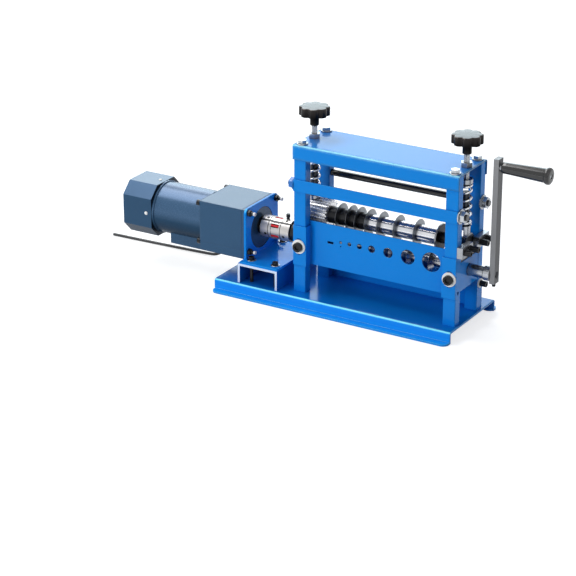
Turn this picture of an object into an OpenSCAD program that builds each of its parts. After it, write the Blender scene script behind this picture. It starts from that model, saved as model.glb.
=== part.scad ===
// Electric wire stripper: a roller frame on a hat-section base, driven by a geared motor.
// Millimetres, +Z up. The sizes are given about the middle of the roller frame (x across the
// rollers, y along the wire, z from the table), and placed() moves it all to the middle of
// the footprint.

/* [Base] */
// Length of the base sheet
base_l = 441; // [420:1:480]
// Width of the raised top of the base
base_w = 160; // [150:1:190]
// Height of the raised top above the table
base_h = 20; // [16:1:30]
// Thickness of the base sheet
base_t = 3; // [2:0.5:5]
// Width of the lips turned out along both long edges
base_lip = 14; // [10:1:24]
// Outer bend radius of the base sheet
base_bend = 4; // [3.5:0.5:8]
// How far the base reaches past the frame on the crank side
base_overhang = 4.5; // [0:0.5:20]
// How far the middle of the base lies behind the middle of the frame
base_back = 9; // [0:1:20]

/* [Roller frame] */
// Length of the frame over its legs
frame_l = 297; // [285:1:310]
// Depth of the frame over its legs
frame_d = 93; // [88:1:110]
// Width of a leg along the rollers
leg_w = 22; // [18:1:28]
// Depth of a leg along the wire
leg_d = 16; // [14:1:18]
// Height of the top of the cap above the table
cap_top = 273.5; // [255:0.5:320]
// Thickness of the cap, crossbar and guide sheets
sheet_t = 2; // [1.5:0.5:3]
// Height of the cap's front and rear flanges
cap_flange = 25; // [15:1:35]
// How far the cap reaches past the legs at each end
cap_overhang = 1.5; // [0:0.5:6]
// Height of the middle of the tie rods and the crossbar
tie_z = 204.5; // [198:0.5:225]
// Height of the crossbar strip
crossbar_h = 20.5; // [14:0.5:30]
// Diameter of the tie rods
tie_d = 11; // [10:0.5:13]
// Height of the underside of the bearing blocks
block_bottom = 75; // [66:0.5:80]
// Height of the top of the bearing blocks
block_top = 124; // [121:0.5:124.2]

/* [Rollers] */
// Height of the feed roller's axis
drive_z = 103; // [95:0.5:104]
// Diameter of the feed roller's shaft
drive_d = 20; // [16:1:22]
// Diameter of the feed roller
feed_d = 37; // [34:0.5:38]
// Length of both rollers between their gears and the crank-side blocks
roller_l = 206; // [204:1:216]
// Diameter of the stripping blades
blade_d = 45; // [38:0.5:46.5]
// Thickness of a stripping blade
blade_t = 1.6; // [1.2:0.2:4]
// Diameter of the blade shaft between its journals
blade_shaft_d = 18; // [16:0.5:20]
// Diameter of the blade shaft's journals
journal_d = 15; // [12:0.5:15.5]
// Diameter of the spacers between the blades
spacer_d = 28; // [23:0.5:32]
// Module of the two roller gears
gear_module = 2; // [1.5:0.1:2.2]
// Teeth of each roller gear
gear_teeth = 22; // [20:1:24]
// Face width of the roller gears
gear_w = 35.5; // [15:0.5:35.5]

/* [Guide plate] */
// How far the guide face is set back from the front of the legs
guide_setback = 15.5; // [14:0.5:17]
// Height of the lower edge of the guide plate
guide_bottom = 67; // [60:0.5:75]
// Height of the upper edge of the guide face
guide_top = 143; // [136:0.5:146]
// Height of the upper edge of the guide plate's tabs
tab_top = 135.5; // [125:0.5:136]
// Height of the row of guide holes
hole_z = 115.5; // [108:0.5:117]
// Height of the guide plate's clamp screws
guide_screw_z = 100; // [92:0.5:108]
// Height of the upper edge of the rear plate
rear_plate_top = 92; // [70:1:94]

/* [Pressure screws] */
// Diameter of the pressure screws
screw_d = 10; // [8:0.5:12]
// Lead of the pressure screws
screw_lead = 1.5; // [1:0.25:2]
// Depth of the spring seats' underside below the top of the cap
seat_drop = 26.5; // [22:0.5:32]
// Height of the spring's foot on the saddle
spring_foot_z = 176; // [174:0.5:180]
// Outer diameter of the springs
spring_d = 22; // [20:0.5:24]
// Wire diameter of the springs
spring_wire = 3.5; // [2:0.25:3.5]
// Turns of each spring
spring_turns = 6.5; // [6:0.5:8]
// Diameter of the star knobs over their lobes
knob_d = 51; // [40:1:54]
// Height of the star knobs' rim
knob_rim = 15; // [10:0.5:18]
// Gap between the nuts on the cap and the knobs' hubs
knob_gap = 13.5; // [6:0.5:20]

/* [Crank] */
// Thickness of the lever along the roller axis
lever_t = 9; // [7:0.5:12]
// Width of the lever
lever_w = 16; // [15.5:0.5:20]
// Distance between the roller axis and the grip axis
crank_r = 180; // [120:1:200]
// Place of the lever's inner face
lever_x = 187.5; // [180:0.5:200]
// Length of the grip
grip_l = 82; // [60:1:110]
// Diameter of the grip at the lever
grip_d = 18; // [17:0.5:24]
// Diameter of the grip's end flange
grip_end_d = 27; // [24:0.5:32]

/* [Motor and gearbox] */
// Place of the gearbox's output face
gearbox_x = -242; // [-248:0.5:-240]
// Length of the gearbox
gearbox_l = 90; // [86:1:100]
// Width of the gearbox
gearbox_w = 94; // [90:1:100]
// Height of the gearbox
gearbox_h = 87; // [85:1:95]
// How far the motor axis lies below the output shaft
motor_drop = 4.5; // [4:0.5:6]
// Wall thickness of the gearbox and motor castings
wall = 5; // [4:0.5:6]
// Diameter of the motor body
motor_d = 88; // [80:1:90]
// Length of the motor body
motor_l = 99; // [85:1:110]
// Length of the fan cover
fan_cover_l = 57; // [50:1:80]
// Width of the octagonal fan cover
fan_cover_w = 92; // [90:1:98]
// Height of the motor riser above the base
riser_h = 34; // [32:0.5:34]
// Length of the riser along the roller axis
riser_l = 76; // [64:1:78]
// Thickness of the riser and bracket plates
plate_t = 4; // [3:0.5:4.5]

/* [Coupling] */
// Diameter of the coupling
coupling_d = 38; // [32:1:42]
// Length of the coupling
coupling_l = 55; // [50:1:57]
// Place of the coupling's motor end
coupling_x = -231; // [-232:0.5:-230]

/* [Hidden] */
$fn = 48;
// Running clearance on a radius, and the gap of pieces that are pressed together
run = 0.04;
snug = 0.02;
// Gap between pieces that move past each other
gap = 0.3;
// Room for cutters to pass through a face
past = 1;

// Derived places of the frame
leg_out = frame_l / 2;
leg_in = leg_out - leg_w;
front = -frame_d / 2;
rear = frame_d / 2;
well = frame_d / 2 - leg_d;
leg_top = cap_top - sheet_t;
leg_mid_x = leg_out - leg_w / 2;
leg_mid_y = frame_d / 2 - leg_d / 2;
base_x1 = leg_out + base_overhang;
base_x0 = base_x1 - base_l;
base_y0 = base_back - base_w / 2;
base_y1 = base_back + base_w / 2;

// Rollers and gears
gear_r = gear_module * gear_teeth / 2;
blade_z = drive_z + 2 * gear_r;
roller_x1 = roller_l / 2;
gear_x1 = -roller_x1 - past;
gear_x0 = gear_x1 - gear_w;
block_gap = 0.5;
bearing_w = 8;
block_x1 = leg_out - block_gap;
block_x0 = block_x1 - bearing_w;
saddle_x0 = block_x0;
saddle_x1 = block_x1 - past;
seat_z = cap_top - seat_drop;
block_skin = 2;
bush_wall = 4.5;
lower_bush_r = drive_d / 2 + bush_wall;
upper_bush_r = journal_d / 2 + bush_wall;
saddle_wall = 5;
saddle_r = upper_bush_r + saddle_wall;
end_x = (leg_in + leg_out) / 2;
plunger_r = 9.5;
gear_clear = 0.8;
pin_drop = 15;
collar_r = 16;
collar_l = 9;
retainer_t = 10;
retainer_z0 = 137;
retainer_z1 = 155;
retainer_screw_z = (retainer_z0 + retainer_z1) / 2;
retainer_screw_y = 17;
retainer_head_h = 11;
retainer_inner_head = 14;
notch_r = 10.5;
notch_z = retainer_z1 - 2;

// Wire tracks: place along the rollers and bore in the guide plate. The first is a flat slot.
tracks = [[-87, 4], [-68, 5], [-52, 7], [-33.5, 9], [-11, 12.5], [19, 17], [55, 25], [97, 33]];
flat_slot_w = 11;
black_gaps = 4;
end_blade_t = 2.6;
// How far the blades stand past the middle of their guide holes
blade_shift = 1.8;
function blade_x(i) = tracks[i][0] + blade_shift;

// Fasteners: thread radius, head or nut radius over its corners, head height
m10_r = 5;
m10_nut_r = 9.8;
m10_nut_h = 8;
m8_r = 4;
m8_head_r = 7.5;
m8_head_h = 5.5;
m6_r = 3;
m6_head_r = 5;
m6_head_h = 6;
m6_reach = 10;
washer_r = 12;
washer_t = 2;
bolt_washer_r = 9;
guide_screw_r = 5;
guide_head_r = 8;
guide_head_h = 5.5;
guide_screw_reach = 12;
tie_stub = 3;
tie_end = leg_out + washer_t + m10_nut_h + tie_stub;
knob_z = cap_top + m10_nut_h + knob_gap;

// Crank
lever_head = 14;
lever_tail = 14;
lever_top = drive_z + crank_r + lever_head;
lever_bottom = drive_z - lever_tail;
set_screw_r = 2.5;
set_screw_stub = 3;
shaft_end_sink = 3;
lever_bore_r = 6;
grip_z = drive_z + crank_r;
spindle_r = 4;
spindle_collar_r = 6.5;
spindle_collar_l = 3;
grip_x0 = lever_x + lever_t + spindle_collar_l + gap;
grip_x1 = grip_x0 + grip_l;
grip_flange = 8;

// Motor, gearbox and coupling
motor_z = drive_z - motor_drop;
gearbox_x0 = gearbox_x - gearbox_l;
motor_x0 = gearbox_x0 - motor_l;
cover_x0 = motor_x0 - fan_cover_l;
cover_wall = 2;
case_lid = 6;
boss_r = 35;
boss_h = plate_t - 0.5;
output_r = 8;
rotor_r = 7;
bolt_y = gearbox_w / 2 - 4;
bolt_z = gearbox_h / 2 - 9.5;
bracket_top = motor_z + gearbox_h / 2 + 3;
bracket_w = gearbox_w + 8;
bracket_corner = 9;
riser_lead = 4;
riser_x0 = gearbox_x - riser_lead;
riser_x1 = riser_x0 + riser_l;
riser_y0 = -65;
riser_y1 = 65;
riser_top = base_h + riser_h;
foot_bolt_x = [riser_x0 + plate_t + 14, riser_x1 - plate_t - 8];
foot_bolt_y = 50;
hub_l = (coupling_l - 15) / 2;
coupling_x1 = coupling_x + coupling_l;
jaws = 3;
jaw_span = 40;
spider_arm = 180 / jaws - jaw_span;
spider_inner_r = 10.4;

// Reduction inside the gearbox: rotor pinion, idler wheel, idler pinion, output wheel
inner_module = 0.8;
pinion_teeth = 10;
idler_teeth = 40;
output_teeth = 50;
first_distance = inner_module * (pinion_teeth + idler_teeth) / 2;
second_distance = inner_module * (pinion_teeth + output_teeth) / 2;
idler_drop = (pow(second_distance, 2) - pow(first_distance, 2) - pow(motor_drop, 2)) / (2 * motor_drop);
idler_z = motor_z - idler_drop;
idler_y = sqrt(pow(first_distance, 2) - pow(idler_drop, 2));
first_angle = atan2(idler_z - motor_z, idler_y);
second_angle = atan2(drive_z - idler_z, -idler_y);
first_x = gearbox_x0 + wall + 6;
second_x = first_x + 16;
inner_gear_w = 10;
idler_r = 2.8;
bearing_l = 5;

// Terminal box and cord
box_x0 = motor_x0 + 27;
box_x1 = gearbox_x0 - 4;
box_y0 = -28;
box_y1 = 14;
box_drop = 52.5;
box_z0 = motor_z - box_drop;
gland_inset = 14;
gland_rise = 5.5;
gland_x = box_x1 - gland_inset;
gland_z = box_z0 + gland_rise;
gland_l = 20;
gland_r = 5;
cord_d = 5.2;
// Points along the cord, from the cable gland to its cut end on the table
cord_route = [
    [-350, 34, 51.5], [-350, 36.5, 51.5], [-350, 42, 50.7], [-350, 47, 48.5], [-350, 51.6, 45],
    [-350, 55, 40.5], [-350, 57.2, 35.2], [-350, 58, 29.5], [-350.8, 58, 20.6], [-353.2, 57.8, 14.8],
    [-357, 57.5, 9.8], [-362, 57, 6], [-368, 56.4, 3.5], [-375, 55.7, 2.7], [-388, 54.6, 2.7],
    [-402, 53.6, 2.7], [-416, 52.7, 2.7], [-430, 51.9, 2.7], [-444, 51.1, 2.7], [-458, 50.4, 2.7],
    [-472, 49.7, 2.7], [-486, 49.1, 2.7], [-500, 48.5, 2.7], [-514, 47.9, 2.7], [-528, 47.4, 2.7],
    [-542, 46.9, 2.7], [-556, 46.5, 2.7], [-567, 46.1, 2.7], [-577, 45.8, 2.7]];

// Middle of the footprint, without the cord
mid_x = (cover_x0 + grip_x1) / 2;
mid_y = base_back;

// Moves a piece from the frame's own middle to the middle of the footprint
module placed() {
    translate([-mid_x, -mid_y, 0]) children();
}

// A block between two corners
module block(x0, x1, y0, y1, z0, z1) {
    translate([x0, y0, z0]) cube([x1 - x0, y1 - y0, z1 - z0]);
}

// Round bars along each axis
module bar_x(r, x0, x1, y, z) {
    translate([x0, y, z]) rotate([0, 90, 0]) cylinder(r = r, h = x1 - x0);
}
module bar_y(r, x, y0, y1, z) {
    translate([x, y0, z]) rotate([-90, 0, 0]) cylinder(r = r, h = y1 - y0);
}
module bar_z(r, x, y, z0, z1) {
    translate([x, y, z0]) cylinder(r = r, h = z1 - z0);
}

// A turned piece along x from a profile of [radius, x] points
module turned_x(profile, y, z) {
    translate([0, y, z]) rotate([0, 90, 0]) rotate_extrude() polygon(profile);
}

// Copies at both ends of the frame, mirrored
module both_ends() {
    children();
    mirror([1, 0, 0]) children();
}
// Copies on the front and rear legs, mirrored
module both_sides() {
    children();
    mirror([0, 1, 0]) children();
}

// An outline drawn in y and z, carried along x
module along_x(x0, x1) {
    translate([x0, 0, 0]) rotate([90, 0, 90]) linear_extrude(x1 - x0) children();
}

// Quarter bend from angle a, as outline points
function bend(cy, cz, r, a, turn) = [for (i = [0 : 4]) [cy + r * cos(a + turn * i / 4), cz + r * sin(a + turn * i / 4)]];

// Straight-flanked gear outline with play between the flanks
tooth_root = 0.30;
tooth_tip = 0.11;
function gear_outline(m, n) = [
    for (i = [0 : n - 1])
        for (k = [[-tooth_root, -1.25], [-tooth_tip, 0.95], [tooth_tip, 0.95], [tooth_root, -1.25]])
            let (a = 360 / n * (i + k[0]), r = m * (n / 2 + k[1])) [r * cos(a), r * sin(a)]];

module gear(m, n, x0, w, y, z, angle, bore) {
    translate([0, y, z]) along_x(x0, x0 + w) difference() {
        rotate(angle) polygon(gear_outline(m, n));
        circle(r = bore);
    }
}

// A flat plate with rounded outer corners, along one long edge of the base
module lip(y0, y1, outer) {
    r = base_lip - base_t;
    corner_y = outer > 0 ? y1 - r : y0 + r;
    block(base_x0 + r, base_x1 - r, y0, y1, 0, base_t);
    block(base_x0, base_x1, outer > 0 ? y0 : y0 + r, outer > 0 ? y1 - r : y1, 0, base_t);
    for (x = [base_x0 + r, base_x1 - r]) bar_z(r, x, corner_y, 0, base_t);
}

module base_plate() {
    inner = base_bend - base_t;
    color("#1e7ad6") difference() {
        base_sheet(inner);
        foot_bolt_holes(0, base_h + past);
    }
}

module base_sheet(inner) {
    union() {
        along_x(base_x0, base_x1) polygon(concat(
            [[base_y0, 0]],
            bend(base_y0 + base_bend, base_h - base_bend, base_bend, 180, -90),
            bend(base_y1 - base_bend, base_h - base_bend, base_bend, 90, -90),
            [[base_y1, 0], [base_y1 - base_t, 0]],
            bend(base_y1 - base_bend, base_h - base_bend, inner, 0, 90),
            bend(base_y0 + base_bend, base_h - base_bend, inner, 90, 90),
            [[base_y0 + base_t, 0]]));
        lip(base_y0 - base_lip, base_y0 + base_t, -1);
        lip(base_y1 - base_t, base_y1 + base_lip, 1);
    }
}

// One leg at the right end, at the front for side -1 and at the rear for side 1.
// At the crank end it has the holes of the retainer and of the side screw.
module leg(side, crank_end) {
    y0 = side < 0 ? front : rear - leg_d;
    y = side * leg_mid_y;
    edge = 0.8;
    difference() {
        translate([leg_in, y0, base_h]) linear_extrude(leg_top - base_h) polygon([
            [edge, 0], [leg_w - edge, 0], [leg_w, edge], [leg_w, leg_d - edge],
            [leg_w - edge, leg_d], [edge, leg_d], [0, leg_d - edge], [0, edge]]);
        bar_x(m10_r + snug, leg_in - past, leg_out + past, y, tie_z);
        bar_z(m8_r + snug, leg_mid_x, y, leg_top - m6_reach - past, leg_top + past);
        if (crank_end) bar_x(m6_r + snug, leg_out - m6_reach - past, leg_out + past, y, retainer_screw_z);
        if (side < 0) {
            bar_y(guide_screw_r + snug, leg_mid_x, front - past, front + guide_screw_reach + past, guide_screw_z);
            bar_x(m6_r, leg_out - m6_reach, leg_out + past, y, spare_hole_z);
        }
        if (side > 0) {
            for (z = rear_rows) bar_y(m6_r + snug, leg_mid_x, rear - m6_reach - past, rear + past, z);
            if (crank_end) bar_x(m6_r + snug, leg_out - side_reach - past, leg_out + past, y, side_screw_z);
        }
    }
}
// Heights of the spare hole in the front legs, the side screw in a rear leg and the rear plate's screws
spare_hole_z = 75;
side_screw_z = 66;
side_reach = 7;
side_washer_r = 8;
rear_rows = [34, rear_plate_top - 14];

module front_legs() {
    color("#1f78d1") {
        leg(-1, true);
        mirror([1, 0, 0]) leg(-1, false);
    }
}

module rear_legs() {
    color("#1f78d1") {
        leg(1, true);
        mirror([1, 0, 0]) leg(1, false);
    }
}

module top_cap() {
    y = rear + sheet_t;
    r = sheet_t + 1;
    x = leg_out + cap_overhang;
    color("#2a86e0") difference() {
        along_x(-x, x) polygon(concat(
            [[-y, cap_top - cap_flange]],
            bend(-y + r, cap_top - r, r, 180, -90),
            bend(y - r, cap_top - r, r, 90, -90),
            [[y, cap_top - cap_flange], [rear, cap_top - cap_flange], [rear, leg_top],
             [front, leg_top], [front, cap_top - cap_flange]]));
        both_ends() both_sides() bar_z(m8_r + gap, leg_mid_x, leg_mid_y, leg_top - past, cap_top + past);
        both_ends() bar_z(screw_d / 2 + gap, end_x, 0, leg_top - past, cap_top + past);
    }
}

module cap_bolts() {
    seat = cap_top + washer_t;
    color("silver") both_ends() both_sides() {
        bar_z(m8_r, leg_mid_x, leg_mid_y, leg_top - m6_reach, seat);
        translate([leg_mid_x, leg_mid_y, seat]) cylinder(r = m8_head_r, h = m8_head_h, $fn = 6);
    }
}

// A washer with its axis along z, at the origin
module washer(r, bore, t) {
    difference() {
        cylinder(r = r, h = t);
        translate([0, 0, -past]) cylinder(r = bore, h = t + 2 * past);
    }
}

module steel_washers() {
    color("gainsboro") both_ends() both_sides() {
        translate([leg_mid_x, leg_mid_y, cap_top]) washer(bolt_washer_r, m8_r + snug, washer_t);
        translate([leg_out, leg_mid_y, tie_z]) rotate([0, 90, 0]) washer(washer_r, m10_r + snug, washer_t);
    }
}

// A hexagon nut with its axis along z, at the origin
module hex_nut(bore) {
    difference() {
        cylinder(r = m10_nut_r, h = m10_nut_h, $fn = 6);
        translate([0, 0, -past]) cylinder(r = bore, h = m10_nut_h + 2 * past);
    }
}

module hex_nuts() {
    color("silver") both_ends() {
        both_sides() translate([leg_out + washer_t, leg_mid_y, tie_z]) rotate([0, 90, 0]) hex_nut(m10_r + snug);
        translate([end_x, 0, cap_top]) hex_nut(screw_d / 2 + run);
    }
}

module front_crossbar() {
    color("#1f78d1") block(-leg_out, leg_out, front - sheet_t, front, tie_z - crossbar_h / 2, tie_z + crossbar_h / 2);
}

module tie_rods() {
    color("#202226") both_sides() {
        bar_x(tie_d / 2, -leg_in, leg_in, leg_mid_y, tie_z);
        bar_x(m10_r, -tie_end, tie_end, leg_mid_y, tie_z);
    }
}

// Bore of a wire track, through the guide face
module track_bore(track) {
    bar_y(track[1] / 2, track[0], front - past, front + guide_setback + past, hole_z);
}

module guide_plate() {
    face = front + guide_setback;
    turn_x = leg_in - gap;
    slot_half = 9;
    color("#2080d8") difference() {
        union() {
            block(-turn_x, turn_x, face - sheet_t, face, guide_bottom, guide_top);
            both_ends() {
                block(turn_x - sheet_t, turn_x, front - sheet_t, face, guide_bottom, tab_top);
                block(turn_x - sheet_t, leg_out, front - sheet_t, front, guide_bottom, tab_top);
            }
        }
        both_ends() {
            for (z = [-slot_half, slot_half])
                bar_y(guide_screw_r + gap, leg_mid_x, front - sheet_t - past, front + past, guide_screw_z + z);
            block(leg_mid_x - guide_screw_r - gap, leg_mid_x + guide_screw_r + gap, front - sheet_t - past,
                  front + past, guide_screw_z - slot_half, guide_screw_z + slot_half);
        }
        for (i = [1 : len(tracks) - 1]) track_bore(tracks[i]);
        bar_y(1.2, tracks[1][0], front - past, face + past, hole_z - 7);
        block(tracks[0][0] - flat_slot_w / 2, tracks[0][0] + flat_slot_w / 2, front - past, face + past,
              hole_z - 4 - tracks[0][1] / 2, hole_z - 4 + tracks[0][1] / 2);
    }
}

// A socket-head screw along -z from its seat at the origin
module socket_screw(r, head_r, head_h, reach) {
    translate([0, 0, -reach]) cylinder(r = r, h = reach);
    difference() {
        cylinder(r = head_r, h = head_h);
        translate([0, 0, head_h / 2]) cylinder(r = r, h = head_h, $fn = 6);
    }
}

module guide_screws() {
    color("#1c1d20") both_ends() translate([leg_mid_x, front - sheet_t - washer_t, guide_screw_z]) rotate([90, 0, 0])
        socket_screw(guide_screw_r, guide_head_r, guide_head_h, guide_screw_reach + sheet_t + washer_t);
}

module guide_washers() {
    color("whitesmoke") {
        both_ends() translate([leg_mid_x, front - sheet_t, guide_screw_z]) rotate([90, 0, 0])
            washer(washer_r, guide_screw_r + snug, washer_t);
        translate([leg_out, leg_mid_y, side_screw_z]) rotate([0, 90, 0])
            washer(side_washer_r, m6_r + snug, washer_t);
    }
}

module rear_plate() {
    color("#1a6fc6") difference() {
        block(-leg_out, leg_out, rear, rear + sheet_t, base_h, rear_plate_top);
        both_ends() for (z = rear_rows) bar_y(m6_r + gap, leg_mid_x, rear - past, rear + sheet_t + past, z);
    }
}

module bearing_blocks() {
    color("#1a6ac0") both_ends() difference() {
        block(block_x0, block_x1, -well, well, block_bottom, block_top);
        bar_x(lower_bush_r + snug, block_x0 - past, block_x1 - block_skin, 0, drive_z);
        bar_x(drive_d / 2 + gap, block_x0, block_x1 + past, 0, drive_z);
    }
}

module lower_bushes() {
    color("#b08d57") both_ends() difference() {
        bar_x(lower_bush_r, block_x0, block_x1 - block_skin, 0, drive_z);
        bar_x(drive_d / 2 + run, block_x0 - past, block_x1 + past, 0, drive_z);
    }
}

module bearing_retainers() {
    color("silver") difference() {
        block(leg_out, leg_out + retainer_t, front, rear, retainer_z0, retainer_z1);
        both_sides() for (y = [retainer_screw_y, leg_mid_y])
            bar_x(m6_r + snug, leg_out - past, leg_out + retainer_t + past, y, retainer_screw_z);
        bar_x(notch_r, leg_out - past, leg_out + retainer_t + past, 0, notch_z);
    }
}

module socket_screws() {
    color("#1c1d20") {
        both_sides() {
            translate([leg_out + retainer_t, leg_mid_y, retainer_screw_z]) rotate([0, 90, 0])
                socket_screw(m6_r, m6_head_r, retainer_head_h, m6_reach + retainer_t);
            translate([leg_out + retainer_t, retainer_screw_y, retainer_screw_z]) rotate([0, 90, 0])
                socket_screw(m6_r, m6_head_r, retainer_inner_head, retainer_t - past);
        }
        translate([leg_out + washer_t, leg_mid_y, side_screw_z]) rotate([0, 90, 0])
            socket_screw(m6_r, m6_head_r, retainer_head_h, side_reach + washer_t);
        both_ends() for (z = rear_rows)
            translate([leg_mid_x, rear + sheet_t, z]) rotate([-90, 0, 0])
                socket_screw(m6_r, m6_head_r, m6_head_h, m6_reach + sheet_t);
        for (x = foot_bolt_x) for (y = [-foot_bolt_y, foot_bolt_y])
            translate([x, y, riser_top + plate_t])
                socket_screw(m6_r, m6_head_r, m6_head_h, riser_h + plate_t + base_t);
    }
}

// Width and depth of the feed roller's groove under a track
function groove_w(track) = 4 + 0.7 * track[1];
function groove_d(track) = 1.2 + 0.2 * track[1];

module feed_roller() {
    r = feed_d / 2;
    color("#c9ccd0") turned_x(concat(
        [[0, coupling_x1 - hub_l], [drive_d / 2, coupling_x1 - hub_l], [drive_d / 2, -roller_x1], [r, -roller_x1]],
        [for (t = tracks) each [
            [r, t[0] - groove_w(t) / 2], [r - groove_d(t), t[0] - groove_w(t) / 4],
            [r - groove_d(t), t[0] + groove_w(t) / 4], [r, t[0] + groove_w(t) / 2]]],
        [[r, roller_x1 + 9], [drive_d / 2, roller_x1 + 9], [drive_d / 2, lever_x - 11],
         [drive_d / 2 + 2, lever_x - 11], [drive_d / 2 + 2, lever_x], [lever_bore_r, lever_x],
         [lever_bore_r, lever_x + lever_t - shaft_end_sink], [0, lever_x + lever_t - shaft_end_sink]]), 0, drive_z);
}

module lower_gear() {
    color("#b9bcc1") gear(gear_module, gear_teeth, gear_x0, gear_w, 0, drive_z, 90, drive_d / 2 + snug);
}

module roller_collar() {
    color("#17181a") difference() {
        bar_x(collar_r, coupling_x1 + past, coupling_x1 + past + collar_l, 0, drive_z);
        bar_x(drive_d / 2 + snug, coupling_x1, coupling_x1 + 2 * past + collar_l, 0, drive_z);
    }
}

module blade_shaft() {
    r = blade_shaft_d / 2;
    j = journal_d / 2;
    x = saddle_x0 - past;
    color("#3a3c40") turned_x([
        [0, -saddle_x1], [j, -saddle_x1], [j, -x], [r, -x], [r, x], [j, x], [j, saddle_x1], [0, saddle_x1]], 0, blade_z);
}

module stripping_blades() {
    r = blade_d / 2;
    land = 0.2;
    color("#8f9398") for (i = [0 : len(tracks) - 2]) {
        x = blade_x(i);
        turned_x([
            [blade_shaft_d / 2 + snug, x - blade_t / 2], [r - 4, x - blade_t / 2], [r, x - land],
            [r, x + land], [r - 4, x + blade_t / 2], [blade_shaft_d / 2 + snug, x + blade_t / 2]], 0, blade_z);
    }
}

module end_blade() {
    last = tracks[len(tracks) - 1][0];
    color("#1b1c1f") difference() {
        bar_x(blade_d / 2, last - end_blade_t / 2, last + end_blade_t / 2, 0, blade_z);
        bar_x(blade_shaft_d / 2 + snug, last - end_blade_t, last + end_blade_t, 0, blade_z);
    }
}

// Faces of the spacer before track i: from the gear or the last blade to this blade
function spacer_from(i) = i == 0 ? gear_x1 : blade_x(i - 1) + blade_t / 2;
function spacer_to(i) = i == len(tracks) - 1 ? tracks[i][0] - end_blade_t / 2 : blade_x(i) - blade_t / 2;

module spacer(x0, x1) {
    difference() {
        bar_x(spacer_d / 2, x0, x1, 0, blade_z);
        bar_x(blade_shaft_d / 2 + snug, x0 - past, x1 + past, 0, blade_z);
    }
}

module black_spacers() {
    color("#1d1e21") for (i = [0 : black_gaps - 1]) spacer(spacer_from(i), spacer_to(i));
}

module steel_spacers() {
    color("#c4c7cb") for (i = [black_gaps : len(tracks) - 1]) spacer(spacer_from(i), spacer_to(i));
}

module blade_gear() {
    color("#c4c7cb") gear(gear_module, gear_teeth, gear_x0, gear_w, 0, blade_z, -90 + 180 / gear_teeth, blade_shaft_d / 2 + snug);
}

// Bearing slides of the blade roller, each with a plunger and the pin that guides its spring
module saddles() {
    slab_top = blade_z;
    color("#a9adb2") both_ends() {
        difference() {
            union() {
                block(saddle_x0, saddle_x1, -well + gap, well - gap, block_top + gap, slab_top);
                bar_x(saddle_r, saddle_x0, saddle_x1, 0, blade_z);
            }
            bar_x(upper_bush_r + snug, saddle_x0 - past, saddle_x1 + past, 0, blade_z);
        }
        difference() {
            union() {
                bar_z(plunger_r, end_x, 0, blade_z, spring_foot_z);
                bar_z(spring_d / 2 - spring_wire - past, end_x, 0, blade_z, seat_z - pin_drop);
            }
            bar_x(saddle_r + snug, leg_in, leg_out, 0, blade_z);
            bar_x(gear_r + gear_module + gear_clear, leg_in, saddle_x0, 0, blade_z);
            block(leg_in, leg_out, -well, well, block_top, blade_z + saddle_r / 2);
        }
    }
}

module upper_bushes() {
    color("#b08d57") both_ends() difference() {
        bar_x(upper_bush_r, saddle_x0, saddle_x1, 0, blade_z);
        bar_x(journal_d / 2 + run, saddle_x0 - past, saddle_x1 + past, 0, blade_z);
    }
}

// The spring seat under a pressure screw, with a socket for the screw's tip
tip_r = 3;
tip_l = 4;
seat_h = 7;
module spring_seat(side) {
    color("#a9adb2") difference() {
        union() {
            bar_z(spring_d / 2, side * end_x, 0, seat_z, seat_z + seat_h);
            bar_z(spring_d / 2 - spring_wire - past, side * end_x, 0, seat_z - 8, seat_z + past);
        }
        bar_z(tip_r + run, side * end_x, 0, seat_z + seat_h - tip_l, seat_z + seat_h + past);
    }
}
module left_spring_seat() {
    spring_seat(-1);
}
module right_spring_seat() {
    spring_seat(1);
}

// Spring: one swept tube, closed turns at both ends
rings_per_turn = 8;
tube_sides = 6;
spring_rings = rings_per_turn * spring_turns;
end_turns = 1;
coil_r = spring_d / 2 - spring_wire / 2;
spring_low = spring_foot_z + spring_wire / 2 + 0.05;
spring_high = seat_z - spring_wire / 2 - 0.05;
end_rise = spring_wire + 0.6;
function spring_z(t) =
    t < end_turns ? spring_low + end_rise * t / end_turns :
    t > spring_turns - end_turns ? spring_high - end_rise * (spring_turns - t) / end_turns :
    spring_low + end_rise
        + (spring_high - spring_low - 2 * end_rise) * (t - end_turns) / (spring_turns - 2 * end_turns);
function spring_point(t) = [coil_r * cos(360 * t), coil_r * sin(360 * t), spring_z(t)];
spring_path = [for (i = [0 : spring_rings]) spring_point(i / rings_per_turn)];

function unit(v) = v / norm(v);
function heading(path, i) = unit(path[min(i + 1, len(path) - 1)] - path[max(i - 1, 0)]);
// Points of one ring of a tube, square to the path
function ring(path, i, r, sides, flat) =
    let (t = heading(path, i), a = unit(cross(t, flat)), b = cross(t, a))
    [for (k = [0 : sides - 1]) path[i] + r * (cos(360 * k / sides) * a + sin(360 * k / sides) * b)];

// A tube along a path, as one closed triangle mesh
module tube(path, r, sides, flat) {
    n = len(path);
    points = [for (i = [0 : n - 1]) each ring(path, i, r, sides, flat)];
    walls = [for (i = [0 : n - 2]) for (k = [0 : sides - 1])
        let (a = i * sides + k, b = i * sides + (k + 1) % sides)
        each [[a, b, b + sides], [a, b + sides, a + sides]]];
    start = [for (k = [1 : sides - 2]) [0, k + 1, k]];
    last = (n - 1) * sides;
    end = [for (k = [1 : sides - 2]) [last, last + k, last + k + 1]];
    polyhedron(points = points, faces = concat(walls, start, end), convexity = 10);
}

// Least gap of the spring to itself, measured between turns
spring_gap = min([for (i = [0 : spring_rings - 6]) for (j = [i + 6 : spring_rings])
    norm(spring_path[i] - spring_path[j])]) - spring_wire;
echo(spring_gap = spring_gap);

module spring(side) {
    color("#d5d8dc") translate([side * end_x, 0, 0]) tube(spring_path, spring_wire / 2, tube_sides, [0, 0, 1]);
}
module left_spring() {
    spring(-1);
}
module right_spring() {
    spring(1);
}

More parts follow.
